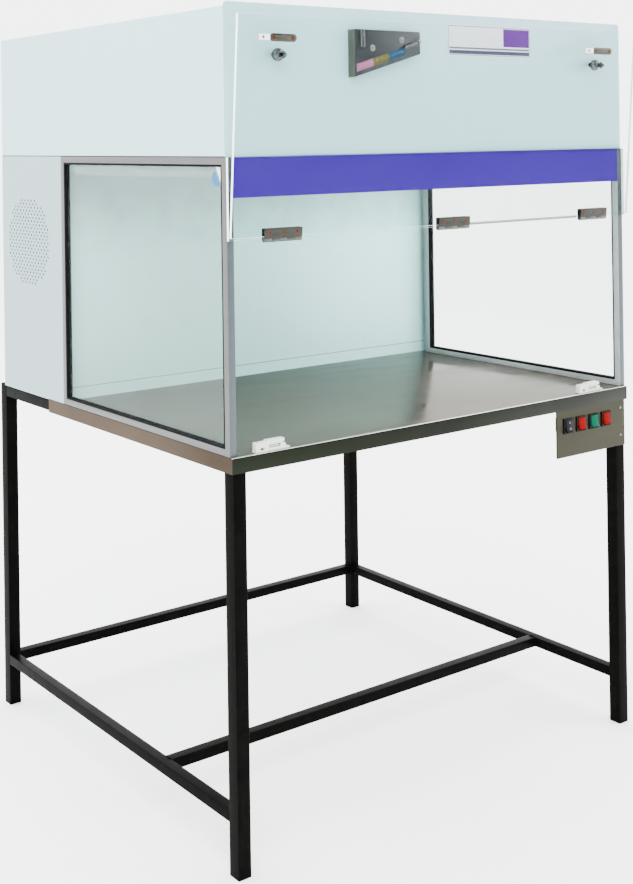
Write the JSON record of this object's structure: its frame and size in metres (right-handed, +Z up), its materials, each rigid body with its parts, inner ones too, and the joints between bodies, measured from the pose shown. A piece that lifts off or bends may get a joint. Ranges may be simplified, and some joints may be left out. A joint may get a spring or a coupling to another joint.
{
  "type": "laminar flow hood",
  "caption": "Vertical laminar flow hood on a square-tube stand: glass-sided work zone, fold-up clear door, stainless table, rear blower case, rocker switch panel.",
  "frame": {"origin": "centre of the bounding box of the hood with its door raised, on the floor", "axes": "+X to the right of a person who faces the work opening, +Y from the front to the rear, +Z up"},
  "size_m": [1.26, 1.1232, 1.802],
  "materials": {
    "bar_aluminium": "brushed grey",
    "black_paint": "worn satin black paint",
    "catch_white": "white moulded plastic",
    "chrome": "polished",
    "clear_glass": "clear, slightly green",
    "clear_sheet": "clear acrylic sheet",
    "copper": "dull copper",
    "diffuser_coat": "white coat",
    "filter_paper": "matt pleated paper",
    "filter_wood": "plain board",
    "galvanised": "galvanised sheet",
    "galvanised_box": "folded sheet box",
    "gasket": "black rubber profile",
    "gauge_clear": "clear glass tube",
    "gauge_dark": "dark grey enamel",
    "gland": "black moulded plastic",
    "hinge_steel": "dull zinc-plated steel",
    "holder": "white moulded plastic",
    "label": "printed plate, plain colour fields",
    "lamp_glass": "white coated tube",
    "motor_paint": "satin dark paint",
    "pan_coat": "smooth off-white powder coat",
    "panel_steel": "satin stainless sheet",
    "pin_steel": "plain steel",
    "rocker_black": "black moulded plastic",
    "rocker_green": "clear green plastic",
    "rocker_red": "clear red plastic",
    "rotor": "cast and pressed aluminium",
    "strike_steel": "dull steel",
    "switch_black": "black moulded plastic",
    "table_steel": "satin stainless sheet",
    "violet_coat": "smooth violet powder coat",
    "wall_coat": "smooth off-white powder coat",
    "white_coat": "smooth off-white powder coat"
  },
  "bodies": {
    "cabinet": {"leg_front_left": "black_paint", "leg_front_right": "black_paint", "leg_rear_left": "black_paint", "leg_rear_right": "black_paint", "frame_front": "black_paint", "frame_rear": "black_paint", "frame_left": "black_paint", "frame_right": "black_paint", "rail_left": "black_paint", "rail_right": "black_paint", "rail_rear": "black_paint", "rail_middle": "black_paint", "work_table": "table_steel", "switch_panel": "panel_steel", "switch_bodies": "switch_black", "side_panel_left": "white_coat", "side_panel_right": "white_coat", "rear_panel": "white_coat", "back_wall": "wall_coat", "back_skirt": "wall_coat", "floor_pan": "white_coat", "cable_gland": "gland", "intake_filter": "filter_paper", "blower_housing": "galvanised", "blower_motor": "motor_paint", "head_shell": "white_coat", "head_front_panel": "white_coat", "valance": "violet_coat", "ceiling_pan": "pan_coat", "filter_frame": "filter_wood", "filter_pack": "filter_paper", "diffuser": "diffuser_coat", "light_tube": "lamp_glass", "germicidal_tube": "lamp_glass", "tube_holders": "holder", "ballast_box": "galvanised_box", "window_frame_left": "bar_aluminium", "window_frame_right": "bar_aluminium", "gasket_left": "gasket", "gasket_right": "gasket", "glass_left": "clear_glass", "glass_right": "clear_glass", "fixed_panel": "clear_sheet", "panel_rivets": "copper", "hinge_upper_leaves": "hinge_steel", "hinge_pins": "pin_steel", "catches": "catch_white", "gauge_plate": "gauge_dark", "gauge_glass": "gauge_clear", "label_plate": "label"},
    "door": {"door_sheet": "clear_sheet", "door_knobs": "chrome", "strike_plates": "strike_steel", "hinge_door_leaves": "hinge_steel", "door_rivets": "copper"},
    "blower_rotor": {"blower_wheel": "rotor"},
    "rocker_1": {"rocker_1": "rocker_black"},
    "rocker_2": {"rocker_2": "rocker_red"},
    "rocker_3": {"rocker_3": "rocker_green"},
    "rocker_4": {"rocker_4": "rocker_red"}
  },
  "joints": [
    {"name": "door_hinge", "type": "hinge", "parent": "cabinet", "child": "door", "pos_m": [0, -0.52444, 1.308], "axis": [1, 0, 0], "range_deg": [0, 175.8]},
    {"name": "blower_spin", "type": "hinge", "parent": "cabinet", "child": "blower_rotor", "pos_m": [-0.5, 0.35356, 1.26], "axis": [1, 0, 0], "continuous": true},
    {"name": "rocker_1_tilt", "type": "hinge", "parent": "cabinet", "child": "rocker_1", "pos_m": [0.402, -0.51724, 0.7935], "axis": [1, 0, 0], "range_deg": [0, 18]},
    {"name": "rocker_2_tilt", "type": "hinge", "parent": "cabinet", "child": "rocker_2", "pos_m": [0.4498, -0.51724, 0.7935], "axis": [1, 0, 0], "range_deg": [0, 18]},
    {"name": "rocker_3_tilt", "type": "hinge", "parent": "cabinet", "child": "rocker_3", "pos_m": [0.4976, -0.51724, 0.7935], "axis": [1, 0, 0], "range_deg": [0, 18]},
    {"name": "rocker_4_tilt", "type": "hinge", "parent": "cabinet", "child": "rocker_4", "pos_m": [0.5454, -0.51724, 0.7935], "axis": [1, 0, 0], "range_deg": [0, 18]}
  ]
}
